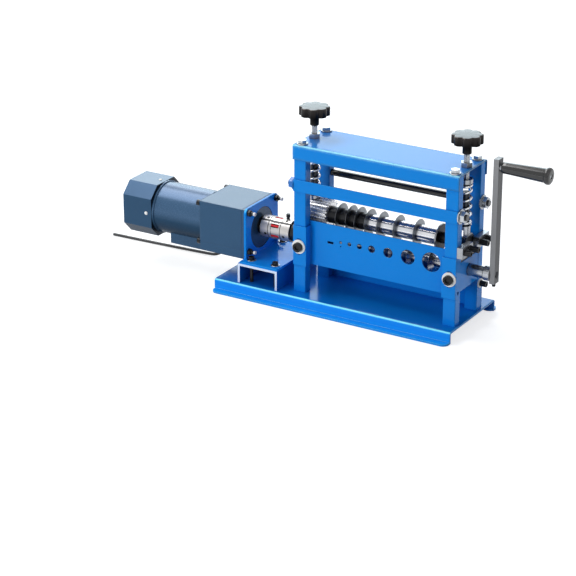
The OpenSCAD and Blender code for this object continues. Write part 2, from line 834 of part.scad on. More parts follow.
// Star knob: a rim with scalloped lobes on a round hub
knob_lobes = 8;
hub_r = 7.5;
hub_h = 17;
scallop_r = 7;
module star_knob(side) {
    scallop_place = knob_d / 2 + scallop_r / 2;
    color("#1a1b1d") translate([side * end_x, 0, knob_z]) difference() {
        union() {
            cylinder(r = hub_r, h = hub_h + past);
            translate([0, 0, hub_h]) difference() {
                cylinder(r = knob_d / 2, h = knob_rim);
                for (i = [0 : knob_lobes - 1]) rotate(360 * i / knob_lobes)
                    translate([scallop_place, 0, -past]) cylinder(r = scallop_r, h = knob_rim + 2 * past);
            }
        }
        translate([0, 0, -past]) cylinder(r = screw_d / 2 + snug, h = hub_h + past);
    }
}
module left_knob() {
    star_knob(-1);
}
module right_knob() {
    star_knob(1);
}

module pressure_screw(side) {
    seat_gap = 0.1;
    shoulder = seat_z + seat_h + seat_gap;
    color("#b9bcc1") {
        bar_z(screw_d / 2, side * end_x, 0, shoulder, knob_z + hub_h);
        bar_z(tip_r, side * end_x, 0, seat_z + seat_h - tip_l + seat_gap, shoulder + past);
    }
}
module left_pressure_screw() {
    pressure_screw(-1);
}
module right_pressure_screw() {
    pressure_screw(1);
}

module crank_lever() {
    half = lever_w / 2;
    x1 = lever_x + lever_t;
    color("#8a8c8f") difference() {
        block(lever_x, x1, -half, half, lever_bottom, lever_top);
        bar_x(lever_bore_r + snug, lever_x - past, x1 + past, 0, drive_z);
        bar_x(spindle_r + snug, lever_x - past, x1 + past, 0, grip_z);
        bar_z(set_screw_r + snug, lever_x + lever_t / 2, 0, lever_bottom - past, drive_z);
    }
}

module clamp_screw() {
    color("#1c1d20") bar_z(set_screw_r, lever_x + lever_t / 2, 0, lever_bottom - set_screw_stub, drive_z - lever_bore_r - snug);
}

module grip_spindle() {
    color("silver") {
        bar_x(spindle_r, lever_x, grip_x1 - past, 0, grip_z);
        bar_x(spindle_collar_r, lever_x + lever_t, lever_x + lever_t + spindle_collar_l, 0, grip_z);
    }
}

module crank_grip() {
    r0 = grip_d / 2;
    r1 = grip_end_d / 2;
    bore = spindle_r + run;
    color("#141517") turned_x([
        [bore, grip_x0], [r0 - 1, grip_x0], [r0, grip_x0 + 1], [r1 - 2, grip_x1 - grip_flange],
        [r1, grip_x1 - grip_flange + 1], [r1, grip_x1 - 3], [r1 - 3, grip_x1], [bore, grip_x1]], 0, grip_z);
}

// A coupling hub with jaws that reach between the spider's arms
module hub(x0, x1, tip, bore, angle) {
    r = coupling_d / 2;
    jaw_r = r - 0.3;
    jaw_x0 = tip > x1 ? x1 - past : tip;
    jaw_x1 = tip > x1 ? tip : x0 + past;
    color("#d2d4d7") difference() {
        union() {
            bar_x(r, x0, x1, 0, drive_z);
            for (i = [0 : jaws - 1]) translate([0, 0, drive_z]) along_x(jaw_x0, jaw_x1)
                rotate(angle + 360 * i / jaws) polygon(concat(
                    [for (a = [-jaw_span / 2, jaw_span / 2]) spider_inner_r * [cos(a), sin(a)]],
                    [for (k = [4 : -1 : 0]) let (a = jaw_span * (k / 4 - 0.5)) jaw_r * [cos(a), sin(a)]]));
        }
        bar_x(bore, x0 - past, x1 + past, 0, drive_z);
    }
}

module motor_hub() {
    hub(coupling_x, coupling_x + hub_l, coupling_x1 - hub_l - 0.5, output_r + snug, 0);
}

module roller_hub() {
    hub(coupling_x1 - hub_l, coupling_x1, coupling_x + hub_l + 0.5, drive_d / 2 + snug, 180 / jaws);
}

module coupling_spider() {
    r = coupling_d / 2 - 0.5;
    x0 = coupling_x + hub_l + gap;
    x1 = coupling_x1 - hub_l - gap;
    arm = 2 * spider_inner_r * sin(spider_arm / 2) - 0.4;
    color("#c8282c") difference() {
        union() {
            bar_x(spider_inner_r * cos(jaw_span / 2) - gap, x0, x1, 0, drive_z);
            for (i = [0 : 2 * jaws - 1]) translate([0, 0, drive_z]) rotate([180 / jaws * (i + 0.5), 0, 0])
                block(x0, x1, 0, r, -arm / 2, arm / 2);
        }
        bar_x(spider_inner_r - 5, x0 - past, x1 + past, 0, drive_z);
    }
}

module motor_riser() {
    color("#1f78d1") difference() {
        block(riser_x0, riser_x1, riser_y0, riser_y1, base_h, riser_top);
        block(riser_x0 + plate_t, riser_x1 - plate_t, riser_y0 - past, riser_y1 + past, base_h - past, riser_top - plate_t);
        foot_bolt_holes(base_h, riser_top + past);
    }
}

// Holes for the four foot bolts between two heights
module foot_bolt_holes(z0, z1) {
    for (x = foot_bolt_x) for (y = [-foot_bolt_y, foot_bolt_y]) bar_z(m6_r + snug, x, y, z0, z1);
}

module motor_bracket() {
    half = bracket_w / 2;
    side = half - bracket_corner;
    color("#1f7fe0") difference() {
        union() {
            block(gearbox_x, gearbox_x + plate_t, -half, half, riser_top, bracket_top - bracket_corner);
            block(gearbox_x, gearbox_x + plate_t, -side, side, riser_top, bracket_top);
            both_sides() bar_x(bracket_corner, gearbox_x, gearbox_x + plate_t, side,
                               bracket_top - bracket_corner);
            block(gearbox_x, riser_x1, riser_y0, riser_y1, riser_top, riser_top + plate_t);
        }
        bar_x(boss_r + gap, gearbox_x - past, gearbox_x + plate_t + past, 0, motor_z);
        gearbox_bolt_holes(gearbox_x - past, gearbox_x + plate_t + past, m6_r + gap);
        foot_bolt_holes(riser_top - past, riser_top + plate_t + past);
    }
}

// Round bars at the four corners of the gearbox, about its output shaft
module gearbox_bolt_holes(x0, x1, r) {
    for (y = [-bolt_y, bolt_y]) for (z = [-bolt_z, bolt_z]) bar_x(r, x0, x1, y, drive_z + z);
}

module gearbox_bolts() {
    nut_h = 5;
    nut_r = 5.8;
    x0 = gearbox_x0 - m6_head_h;
    color("#26282b") {
        gearbox_bolt_holes(gearbox_x0, gearbox_x + plate_t + 14, m6_r);
        gearbox_bolt_holes(x0, gearbox_x0, m6_head_r);
        for (y = [-bolt_y, bolt_y]) for (z = [-bolt_z, bolt_z])
            translate([gearbox_x + plate_t, y, drive_z + z]) rotate([0, 90, 0]) difference() {
                cylinder(r = nut_r, h = nut_h, $fn = 6);
                translate([0, 0, -past]) cylinder(r = m6_r + snug, h = nut_h + 2 * past);
            }
    }
}

module gearbox_case() {
    half = gearbox_w / 2;
    z0 = motor_z - gearbox_h / 2;
    z1 = motor_z + gearbox_h / 2;
    lid_x = gearbox_x - case_lid;
    color("#4a6a86") difference() {
        block(gearbox_x0, lid_x, -half, half, z0, z1);
        difference() {
            block(gearbox_x0 + wall, lid_x + past, -half + wall, half - wall, z0 + wall, z1 - wall);
            for (y = [-bolt_y, bolt_y]) for (z = [-bolt_z, bolt_z])
                bar_x(m6_r + 4, gearbox_x0, gearbox_x, y, drive_z + z);
            bar_x(idler_r + 4, gearbox_x0, first_x - past, idler_y, idler_z);
        }
        gearbox_bolt_holes(gearbox_x0 - past, gearbox_x + past, m6_r + snug);
        bar_x(rotor_r + run, gearbox_x0 - past, gearbox_x0 + wall + past, 0, motor_z);
        bar_x(idler_r + run, gearbox_x0 + past, first_x, idler_y, idler_z);
    }
}

module gearbox_cover() {
    half = gearbox_w / 2;
    lid_x = gearbox_x - case_lid;
    color("#45617b") difference() {
        union() {
            block(lid_x, gearbox_x, -half, half, motor_z - gearbox_h / 2, motor_z + gearbox_h / 2);
            bar_x(boss_r, gearbox_x - past, gearbox_x + boss_h, 0, motor_z);
            bar_x(idler_r + 4, second_x + inner_gear_w + past, gearbox_x - past, idler_y, idler_z);
            bar_x(output_r + 5, second_x + inner_gear_w + past, gearbox_x - past, 0, drive_z);
        }
        bar_x(output_r + run, gearbox_x0, gearbox_x + plate_t + past, 0, drive_z);
        bar_x(idler_r + run, gearbox_x0, lid_x + 2 * past, idler_y, idler_z);
        gearbox_bolt_holes(gearbox_x0, gearbox_x + past, m6_r + snug);
    }
}

module output_shaft() {
    color("#b9bcc1") {
        bar_x(output_r, second_x, coupling_x + hub_l, 0, drive_z);
        gear(inner_module, output_teeth, second_x, inner_gear_w, 0, drive_z,
             second_angle + 180 + 180 / output_teeth, output_r - past);
    }
}

module idler_gears() {
    color("#9fa3a8") {
        bar_x(idler_r, gearbox_x0 + 2 * past, gearbox_x - case_lid + past, idler_y, idler_z);
        gear(inner_module, idler_teeth, first_x, inner_gear_w, idler_y, idler_z,
             first_angle + 180 + 180 / idler_teeth, idler_r - past);
        gear(inner_module, pinion_teeth, second_x, inner_gear_w, idler_y, idler_z, second_angle, past);
    }
}

module motor_body() {
    r = motor_d / 2;
    color("#4f7090") difference() {
        bar_x(r, motor_x0, gearbox_x0, 0, motor_z);
        bar_x(r - wall, motor_x0 - past, gearbox_x0 - wall, 0, motor_z);
        bar_x(rotor_r + run, motor_x0, gearbox_x0 + past, 0, motor_z);
    }
}

// Places along the motor axis
stator_x0 = motor_x0 + 22;
stator_x1 = gearbox_x0 - 24;
stator_r = motor_d / 2 - wall - snug;
rotor_core_r = 22;
winding_l = 10;
winding_gap = 3;

module stator() {
    color("#6b6d70") difference() {
        bar_x(stator_r, stator_x0, stator_x1, 0, motor_z);
        bar_x(rotor_core_r + 0.5, stator_x0 - past, stator_x1 + past, 0, motor_z);
    }
}

module windings() {
    color("#b5651d") for (x = [stator_x0 - winding_l, stator_x1]) difference() {
        bar_x(stator_r - winding_gap, x, x + winding_l, 0, motor_z);
        bar_x(rotor_core_r + winding_gap, x - past, x + winding_l + past, 0, motor_z);
    }
}

module end_shield() {
    r = motor_d / 2;
    color("#45617b") difference() {
        union() {
            bar_x(r, motor_x0 - wall, motor_x0, 0, motor_z);
            bar_x(r - wall - snug, motor_x0, motor_x0 + bearing_l, 0, motor_z);
        }
        bar_x(rotor_r + run, motor_x0 - wall - past, motor_x0 + bearing_l + past, 0, motor_z);
    }
}

module rotor() {
    color("#7d8085") {
        bar_x(rotor_r, motor_x0 - wall - 26, first_x - past, 0, motor_z);
        bar_x(rotor_core_r, stator_x0, stator_x1, 0, motor_z);
        bar_x(pinion_root_r, first_x - 2 * past, first_x + past, 0, motor_z);
        gear(inner_module, pinion_teeth, first_x, inner_gear_w, 0, motor_z, first_angle, past);
    }
}
pinion_root_r = inner_module * (pinion_teeth / 2 - 1.3);

fan_blades = 7;
module cooling_fan() {
    x0 = motor_x0 - wall - 24;
    color("#2b2d30") difference() {
        union() {
            bar_x(rotor_r + 6, x0, x0 + 18, 0, motor_z);
            bar_x(motor_d / 2 - 10, x0 + 15, x0 + 18, 0, motor_z);
            for (i = [0 : fan_blades - 1]) translate([0, 0, motor_z]) rotate([360 * i / fan_blades, 0, 0])
                block(x0, x0 + 16, rotor_r + 5, motor_d / 2 - 10, -1.2, 1.2);
        }
        bar_x(rotor_r + snug, x0 - past, x0 + 18 + past, 0, motor_z);
    }
}

// Octagon outline: a square of the cover's width with its corners cut
module octagon(w) {
    half = w / 2;
    flat = 0.56 * half;
    polygon([[half, -flat], [half, flat], [flat, half], [-flat, half],
             [-half, flat], [-half, -flat], [-flat, -half], [flat, -half]]);
}

vent_slots = 12;
vent_from = 12;
vent_to = 34;
vent_w = 5;
module fan_cover() {
    seat = motor_d / 2 + snug;
    mouth = wall + 4;
    color("#47657f") translate([0, 0, motor_z]) difference() {
        along_x(cover_x0, motor_x0) octagon(fan_cover_w);
        along_x(cover_x0 + cover_wall, motor_x0 - mouth) octagon(fan_cover_w - 2 * cover_wall);
        bar_x(seat, motor_x0 - mouth - past, motor_x0 + past, 0, 0);
        for (i = [0 : vent_slots - 1]) rotate([360 * i / vent_slots, 0, 0])
            block(cover_x0 - past, cover_x0 + cover_wall + past, vent_from, vent_to, -vent_w / 2, vent_w / 2);
    }
}

module terminal_box() {
    color("#3f5c78") difference() {
        block(box_x0, box_x1, box_y0, box_y1, box_z0, motor_z - motor_d / 4);
        bar_x(motor_d / 2 + snug, box_x0 - past, box_x1 + past, 0, motor_z);
    }
}

module cable_gland() {
    tip = cord_d / 2 + 1;
    color("#18191b") difference() {
        union() {
            bar_y(gland_r, gland_x, box_y1, box_y1 + 6, gland_z);
            translate([gland_x, box_y1 + 6, gland_z]) rotate([-90, 0, 0])
                cylinder(r1 = gland_r - 0.6, r2 = tip, h = gland_l - 6);
        }
        bar_y(cord_d / 2 - past, gland_x, box_y1 + past, box_y1 + gland_l + past, gland_z);
    }
}

module power_cord() {
    color("#1b1c1e") tube(cord_route, cord_d / 2, 8, [0.1, 0.2, 1]);
}

placed() base_plate();
placed() front_legs();
placed() rear_legs();
placed() top_cap();
placed() cap_bolts();
placed() steel_washers();
placed() hex_nuts();
placed() front_crossbar();
placed() tie_rods();
placed() guide_plate();
placed() guide_screws();
placed() guide_washers();
placed() rear_plate();
placed() bearing_blocks();
placed() lower_bushes();
placed() bearing_retainers();
placed() socket_screws();
placed() feed_roller();
placed() lower_gear();
placed() roller_collar();
placed() blade_shaft();
placed() stripping_blades();
placed() end_blade();
placed() black_spacers();
placed() steel_spacers();
placed() blade_gear();
placed() saddles();
placed() upper_bushes();
placed() left_spring_seat();
placed() right_spring_seat();
placed() left_spring();
placed() right_spring();
placed() left_knob();
placed() right_knob();
placed() left_pressure_screw();
placed() right_pressure_screw();
placed() crank_lever();
placed() clamp_screw();
placed() grip_spindle();
placed() crank_grip();
placed() motor_hub();
placed() roller_hub();
placed() coupling_spider();
placed() motor_riser();
placed() motor_bracket();
placed() gearbox_bolts();
placed() gearbox_case();
placed() gearbox_cover();
placed() output_shaft();
placed() idler_gears();
placed() motor_body();
placed() stator();
placed() windings();
placed() end_shield();
placed() rotor();
placed() cooling_fan();
placed() fan_cover();
placed() terminal_box();
placed() cable_gland();
placed() power_cord();
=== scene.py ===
import math

import bmesh
import bpy
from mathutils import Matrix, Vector


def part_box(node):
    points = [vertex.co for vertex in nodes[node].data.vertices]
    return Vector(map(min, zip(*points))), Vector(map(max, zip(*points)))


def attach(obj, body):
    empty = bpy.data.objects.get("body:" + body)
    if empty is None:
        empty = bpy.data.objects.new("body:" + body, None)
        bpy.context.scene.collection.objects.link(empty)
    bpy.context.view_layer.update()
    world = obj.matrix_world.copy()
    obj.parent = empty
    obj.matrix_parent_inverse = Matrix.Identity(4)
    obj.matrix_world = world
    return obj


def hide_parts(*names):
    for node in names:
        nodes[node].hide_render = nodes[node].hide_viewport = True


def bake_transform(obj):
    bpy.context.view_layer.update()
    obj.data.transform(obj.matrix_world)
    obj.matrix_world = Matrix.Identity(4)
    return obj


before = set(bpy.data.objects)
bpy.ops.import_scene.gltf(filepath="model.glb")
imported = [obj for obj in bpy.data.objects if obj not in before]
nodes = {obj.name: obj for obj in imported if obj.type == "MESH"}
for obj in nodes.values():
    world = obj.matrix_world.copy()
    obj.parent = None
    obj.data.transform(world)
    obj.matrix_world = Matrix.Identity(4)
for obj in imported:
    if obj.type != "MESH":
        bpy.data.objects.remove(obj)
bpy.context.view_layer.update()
mm = 0.001


def middle(node):
    lo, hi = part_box(node)
    return (lo + hi) / 2


# places given about the roller frame's own middle, as the sizes of the part are
frameMiddle = Vector((middle("front_legs").x, middle("feed_roller").y, 0))


def place(x, y, z):
    return frameMiddle + Vector((x, y, z)) * mm


# heights of the feed roller's and the motor's axes, and how far out the springs stand
driveHeight = 103
motorHeight = 98.5
endPlace = 137.5

print("frame loaded:", len(nodes), "nodes")

# camera at the photograph's angle
cameraView = {"eye": (1549.0, -2885.5, 1399.1), "turn": (67.42, 0, 31.04), "lens": 135.755, "sensor": 36,
              "farEnd": 50}


def makeCamera(view):
    data = bpy.data.cameras.new("photoCamera")
    data.lens = view["lens"]
    data.sensor_width = view["sensor"]
    data.clip_end = view["farEnd"]
    camera = bpy.data.objects.new("photoCamera", data)
    camera.location = place(*view["eye"])
    camera.rotation_euler = [math.radians(a) for a in view["turn"]]
    bpy.context.scene.collection.objects.link(camera)
    bpy.context.scene.camera = camera


makeCamera(cameraView)


def srgb(code):
    parts = [int(code[i:i + 2], 16) / 255 for i in (1, 3, 5)]
    return tuple(c / 12.92 if c <= 0.04045 else ((c + 0.055) / 1.055) ** 2.4 for c in parts) + (1.0,)


def addNode(tree, kind, values=None, **settings):
    node = tree.nodes.new(kind)
    for key, value in settings.items():
        setattr(node, key, value)
    for key, value in (values or {}).items():
        if isinstance(value, bpy.types.NodeSocket):
            tree.links.new(value, node.inputs[key])
        else:
            node.inputs[key].default_value = value
    return node


# every finish: two tones mottled in patches, and a grain or a streak, all in cells per metre, with its depth;
# gloss is the span of the roughness, shine, tint and coat belong to the reflection, edge rounds the corners;
# painted shade in recesses, a painted highlight on folds, painted shade and a fainter shine on what faces
# down; marks repaint faces or zones, some of them with painted light or shade
# painted shade in recesses: how far the occlusion reaches, its span, and the shade's tone for each finish
shadeSpan = {"reach": 0.11, "from": 0.2, "to": 0.9}
blueRecessShade = {**shadeSpan, "tone": "#085EB6"}
bracketRecessShade = {**shadeSpan, "tone": "#0E82EE"}
baseRecessShade = {**shadeSpan, "tone": "#0A66C8"}
steelRecessShade = {"tone": "#1B2026", "reach": 0.014, "from": 0.1, "to": 0.9}
gearRecessShade = {"tone": "#4A4F57", "reach": 0.004, "from": 0.1, "to": 0.8}
springRecessShade = {"tone": "#2A2D31", "reach": 0.006, "from": 0.1, "to": 0.6}
# painted highlight on the folds of the frame's enamel
paleFoldHighlight = {"tone": "#57C4FF", "share": 0.7}

# what the finishes of one kind share
enamel = {"gloss": (0.10, 0.2), "shine": 0.17, "tint": "#C4F2FF", "patch": 7, "grain": 420, "depth": 0.02}
frameEnamel = {**enamel, "tone": "#0E83DE", "shade": "#0A7BD0", "recessShade": blueRecessShade}
motorPaint = {"tone": "#30506D", "shade": "#294661", "under": "#22364A", "patch": 12, "grain": 900,
              "depth": 0.04}
lathed = {"metal": 1, "patch": 30, "depth": 0.002, "streak": (900, 6, 6), "edge": 0.0004,
          "recessShade": steelRecessShade}
zinc = {"tone": "#C9CDD2", "shade": "#9DA2A8", "gloss": (0.12, 0.25), "patch": 90, "grain": 900,
        "depth": 0.02, "edge": 0.0006, "recessShade": steelRecessShade}
oxide = {"tone": "#26272A", "shade": "#17181A", "gloss": (0.26, 0.4), "metal": 0.6, "patch": 60, "grain": 900,
         "depth": 0.04, "edge": 0.0006}

# where the bright tips of the gearbox bolts begin
boltTip = 3.5
boltEnd = (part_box("gearbox_bolts")[1].x - frameMiddle.x) / mm - boltTip

finishes = {
    # glossy enamel: painted highlights as pale lines on the folds, painted shade of deep blue in the
    # recesses, and painted light as a lighter blue on the frame's and the bracket's faces turned to +X
    "blueEnamel": {**frameEnamel, "edge": 0.0011, "rim": paleFoldHighlight,
                   "marks": [{"facing": (1, 0, 0), "tone": "#1292F6"}]},
    "capEnamel": {**frameEnamel, "edge": 0.0065, "rim": {"tone": "#A4EEFF", "share": 1.0}},
    "bracketEnamel": {**frameEnamel, "shine": 0.12, "tint": "#B4E4FF", "edge": 0.0011,
                      "recessShade": bracketRecessShade, "rim": paleFoldHighlight,
                      "marks": [{"facing": (1, 0, 0), "tone": "#24A0FF"}]},
    # the base: painted shade as a darker blue on what faces up, painted light as a lighter blue on the lip
    # below 9 mm, and a painted highlight on its folds
    "baseEnamel": {**enamel, "tone": "#129CFF", "shade": "#0E95FA", "edge": 0.0022, "recessShade": baseRecessShade,
                   "rim": {"tone": "#86ECFF", "share": 1.0},
                   "marks": [{"facing": (0, 0, 1), "tone": "#0468B6"}, {"below": 9, "tone": "#1EA6FF"}]},
    # the riser: painted highlight, its faces turned to the front near-white as they catch the light
    "riserEnamel": {**enamel, "tone": "#0A74C8", "shade": "#066CBC", "edge": 0.0006, "recessShade": blueRecessShade,
                    "marks": [{"facing": (0, -1, 0), "tone": "#E3EFFF"}]},
    # satin grey-blue enamel of the motor, light where it rolls up to the lamp, with painted shade and a
    # fainter shine where it faces down
    "motorEnamel": {**motorPaint, "gloss": (0.22, 0.3), "shine": 0.85, "tint": "#B4D2FF", "edge": 0.0012},
    # the fan cover's face turned to +X painted near-black as the shade inside the open cover
    "coverEnamel": {**motorPaint, "gloss": (0.18, 0.26), "shine": 0.5, "tint": "#A8CCFF", "edge": 0.0008,
                    "marks": [{"facing": (1, 0, 0), "tone": "#0A0D12"}]},
    "boxEnamel": {"tone": "#335371", "shade": "#2B4863", "gloss": (0.18, 0.28), "shine": 0.3,
                  "tint": "#A8CCFF", "patch": 12, "grain": 900, "depth": 0.03, "edge": 0.0032},
    # turned steel: bands of light along the round, fine lines around it, a dark groove in the shaft
    "turnedSteel": {**lathed, "tone": "#BDC0C5", "shade": "#94989E", "gloss": (0.18, 0.28),
                    "marks": [{"nearX": (176.6, 0.7), "tone": "#2A2D31"}]},
    "spacerSteel": {**lathed, "tone": "#E6E7EA", "shade": "#CDD0D5", "gloss": (0.16, 0.24), "metal": 0.95},
    "gearSteel": {"tone": "#F3F3F4", "shade": "#D8D9DC", "gloss": (0.22, 0.3), "metal": 0.75, "patch": 30,
                  "grain": 300, "depth": 0.004, "edge": 0.0003, "recessShade": gearRecessShade},
    # ground steel: greyer and rougher; above the plungers the saddles' pins are dark grey, partly their own
    # dark steel and partly painted shade inside the springs; below them the saddles are painted deep navy as
    # shade
    "groundSteel": {"tone": "#AFB3B8", "shade": "#878B91", "gloss": (0.22, 0.38), "metal": 1, "patch": 40,
                    "depth": 0.03, "streak": (20, 20, 700), "edge": 0.0004, "recessShade": steelRecessShade},
    "saddleSteel": {"tone": "#C3C6CB", "shade": "#999DA3", "gloss": (0.2, 0.34), "metal": 0.9, "patch": 40,
                    "grain": 700, "depth": 0.03, "edge": 0.0004, "recessShade": steelRecessShade,
                    "marks": [{"above": 176.2, "tone": "#3A3D42"}, {"below": 160, "tone": "#10233B"}]},
    # blades: grey steel with bright edges, the last one black on its flat sides
    "bladeSteel": {"tone": "#8E9297", "shade": "#6D7176", "gloss": (0.25, 0.4), "metal": 1, "patch": 60,
                   "grain": 900, "depth": 0.02, "edge": 0.0003},
    "darkBlade": {"tone": "#8E9297", "shade": "#74787D", "gloss": (0.25, 0.4), "metal": 0.7, "patch": 60,
                  "grain": 900, "depth": 0.02, "edge": 0.0003,
                  "marks": [{"facing": (1, 0, 0), "tone": "#101114"},
                            {"facing": (-1, 0, 0), "tone": "#101114"}]},
    # zinc: small bright faces; the nuts and washers on the motor's side are painted with the frame
    "brightZinc": {**zinc, "metal": 1},
    "tieZinc": {**zinc, "metal": 0.85, "marks": [{"leftOf": -148.2, "tone": "#0A6CBE"}]},
    "springWire": {"tone": "#F4F5F6", "shade": "#DADDE0", "gloss": (0.08, 0.16), "metal": 0.75, "patch": 70,
                   "grain": 800, "depth": 0.01, "edge": 0, "recessShade": springRecessShade},
    "whiteZinc": {"tone": "#F1F1EF", "shade": "#DCDDDD", "gloss": (0.35, 0.5), "patch": 80, "grain": 900,
                  "depth": 0.03, "edge": 0.0005},
    # black oxide: satin black with grey edges; the gearbox bolts have bright ends
    "blackOxide": oxide,
    "boltBlack": {**oxide, "marks": [{"rightOf": boltEnd, "tone": "#D4D5D8"}]},
    # smooth black rod with a clear line of light
    "rodBlack": {"tone": "#1E2023", "shade": "#121315", "gloss": (0.12, 0.22), "metal": 0.3, "coat": 0.4,
                 "patch": 40, "grain": 600, "depth": 0.02, "edge": 0},
    # grey lacquer of the crank lever, with painted shade on its outer face
    "leverGrey": {"tone": "#8B8C8E", "shade": "#7B7C7E", "gloss": (0.3, 0.44), "metal": 0.25, "shine": 0.3,
                  "patch": 25, "depth": 0.04, "streak": (30, 30, 4), "edge": 0.0008,
                  "marks": [{"facing": (1, 0, 0), "tone": "#4A4B4E"}]},
    # warm metals inside: bronze bushes and lacquered copper wire
    "bushBronze": {"tone": "#B08A4E", "shade": "#8C6C3A", "gloss": (0.25, 0.4), "metal": 1, "patch": 60,
                   "grain": 700, "depth": 0.03, "edge": 0.0003},
    "windingCopper": {"tone": "#B3692F", "shade": "#8A4A1E", "gloss": (0.3, 0.45), "metal": 0.8, "patch": 50,
                      "depth": 0.2, "streak": (500, 20, 20), "edge": 0},
    # moulded black plastic: pale tops on the knobs, painted shade and a fainter shine on their undersides, an
    # even sheen on the grip
    "knobPlastic": {"tone": "#18191B", "shade": "#0F1012", "gloss": (0.15, 0.23), "shine": 0.35,
                    "tint": "#FFF0E6", "under": "#0C0D0E", "patch": 60, "grain": 1500, "depth": 0.03,
                    "edge": 0},
    "gripPlastic": {"tone": "#141516", "shade": "#0D0E0F", "gloss": (0.13, 0.19), "shine": 0.65, "patch": 50,
                    "grain": 1500, "depth": 0.02, "edge": 0},
    # turned aluminium of the coupling: a soft grey with a slit along it and a groove around each half
    "hubAluminium": {"tone": "#CFCCC9", "shade": "#B8B5B2", "gloss": (0.36, 0.46), "metal": 0.85, "patch": 60,
                     "depth": 0.002, "streak": (800, 8, 8), "edge": 0.0005, "recessShade": steelRecessShade,
                     "marks": [{"nearX": (-216, 0.6), "tone": "#202226"},
                               {"nearX": (-193, 0.6), "tone": "#202226"},
                               {"slitY": (-11.2, 1.6), "tone": "#1C1D20"}]},
    # rubber: dull, the spider red and the cord black
    "spiderRubber": {"tone": "#D3262B", "shade": "#A81B20", "gloss": (0.4, 0.55), "patch": 60,
                     "grain": 900, "depth": 0.08, "edge": 0.0004},
    "cordRubber": {"tone": "#2E2F31", "shade": "#1E1F21", "gloss": (0.38, 0.5), "patch": 60,
                   "grain": 1800, "depth": 0.06, "edge": 0},
}


def mixTones(tree, share, first, second):
    mix = addNode(tree, "ShaderNodeMix", {0: share}, data_type="RGBA")
    for key, value in ((6, first), (7, second)):
        if isinstance(value, bpy.types.NodeSocket):
            tree.links.new(value, mix.inputs[key])
        else:
            mix.inputs[key].default_value = srgb(value)
    return mix.outputs[2]


def ramp(tree, value, fromMin, fromMax, toMin=0.0, toMax=1.0):
    return addNode(tree, "ShaderNodeMapRange", {"Value": value, "From Min": fromMin, "From Max": fromMax,
                                                "To Min": toMin, "To Max": toMax}).outputs["Result"]


# 1 past an edge along an axis, with a soft border; way -1 turns it round
markBorder = 0.0001


def pastEdge(tree, value, edge, way=1):
    return ramp(tree, value, edge - way * markBorder, edge + way * markBorder)


def nearPlace(tree, value, centre, half):
    away = addNode(tree, "ShaderNodeMath", {0: value, 1: centre}, operation="SUBTRACT").outputs[0]
    away = addNode(tree, "ShaderNodeMath", {0: away}, operation="ABSOLUTE").outputs[0]
    return pastEdge(tree, away, half * mm, -1)


# share of a mark: a way the face looks, a side of the part, a line around it or a slit in its upper half
markFacing = (0.85, 0.9)


def markShare(tree, where, mark):
    if "facing" in mark:
        lean = addNode(tree, "ShaderNodeVectorMath", {0: where.outputs["Normal"], 1: mark["facing"]},
                       operation="DOT_PRODUCT").outputs["Value"]
        return ramp(tree, lean, *markFacing)
    spot = addNode(tree, "ShaderNodeSeparateXYZ", {0: where.outputs["Object"]}).outputs
    if "leftOf" in mark:
        return pastEdge(tree, spot["X"], place(mark["leftOf"], 0, 0).x, -1)
    if "rightOf" in mark:
        return pastEdge(tree, spot["X"], place(mark["rightOf"], 0, 0).x)
    if "above" in mark:
        return pastEdge(tree, spot["Z"], mark["above"] * mm)
    if "below" in mark:
        return pastEdge(tree, spot["Z"], mark["below"] * mm, -1)
    if "nearX" in mark:
        centre, half = mark["nearX"]
        return nearPlace(tree, spot["X"], place(centre, 0, 0).x, half)
    centre, half = mark["slitY"]
    slit = nearPlace(tree, spot["Y"], place(0, centre, 0).y, half)
    upper = pastEdge(tree, spot["Z"], driveHeight * mm)
    return addNode(tree, "ShaderNodeMath", {0: slit, 1: upper}, operation="MULTIPLY").outputs[0]


# share of the painted highlight on a fold or a rounded edge: where the rounded normal leaves the face's own,
# or leans out and up; stronger where it faces up
foldHighlightLimits = {"bend": (0.97, 0.8), "fold": (0.2, 0.4), "up": (0.1, 0.6), "least": 0.2}


def foldHighlightShare(tree, roundedNormal, share):
    flat = addNode(tree, "ShaderNodeNewGeometry").outputs["True Normal"]
    bend = addNode(tree, "ShaderNodeVectorMath", {0: roundedNormal, 1: flat}, operation="DOT_PRODUCT").outputs["Value"]
    lean = addNode(tree, "ShaderNodeSeparateXYZ", {0: flat})
    out = addNode(tree, "ShaderNodeMath", {0: lean.outputs["Y"]}, operation="ABSOLUTE").outputs[0]
    fold = addNode(tree, "ShaderNodeMath", {0: out, 1: lean.outputs["Z"]}, operation="MULTIPLY").outputs[0]
    bent = ramp(tree, bend, *foldHighlightLimits["bend"])
    folded = ramp(tree, fold, *foldHighlightLimits["fold"])
    edge = addNode(tree, "ShaderNodeMath", {0: bent, 1: folded}, operation="MAXIMUM").outputs[0]
    height = addNode(tree, "ShaderNodeSeparateXYZ", {0: roundedNormal}).outputs["Z"]
    up = ramp(tree, height, *foldHighlightLimits["up"], foldHighlightLimits["least"] * share, share)
    return addNode(tree, "ShaderNodeMath", {0: edge, 1: up}, operation="MULTIPLY").outputs[0]


# where a face counts as turned down, for its painted shade and for its fainter shine
underLimits = {"tone": (0.1, -0.6), "shine": (-0.15, 0.2), "least": 0.04}
# the usual span of a noise, how fine it is, the height of the bumps, the coat's roughness
noiseSpan = (0.3, 0.7)
patchDetail = 4.0
grainDetail = 3.0
bumpHeight = 0.001
coatRoughness = 0.06


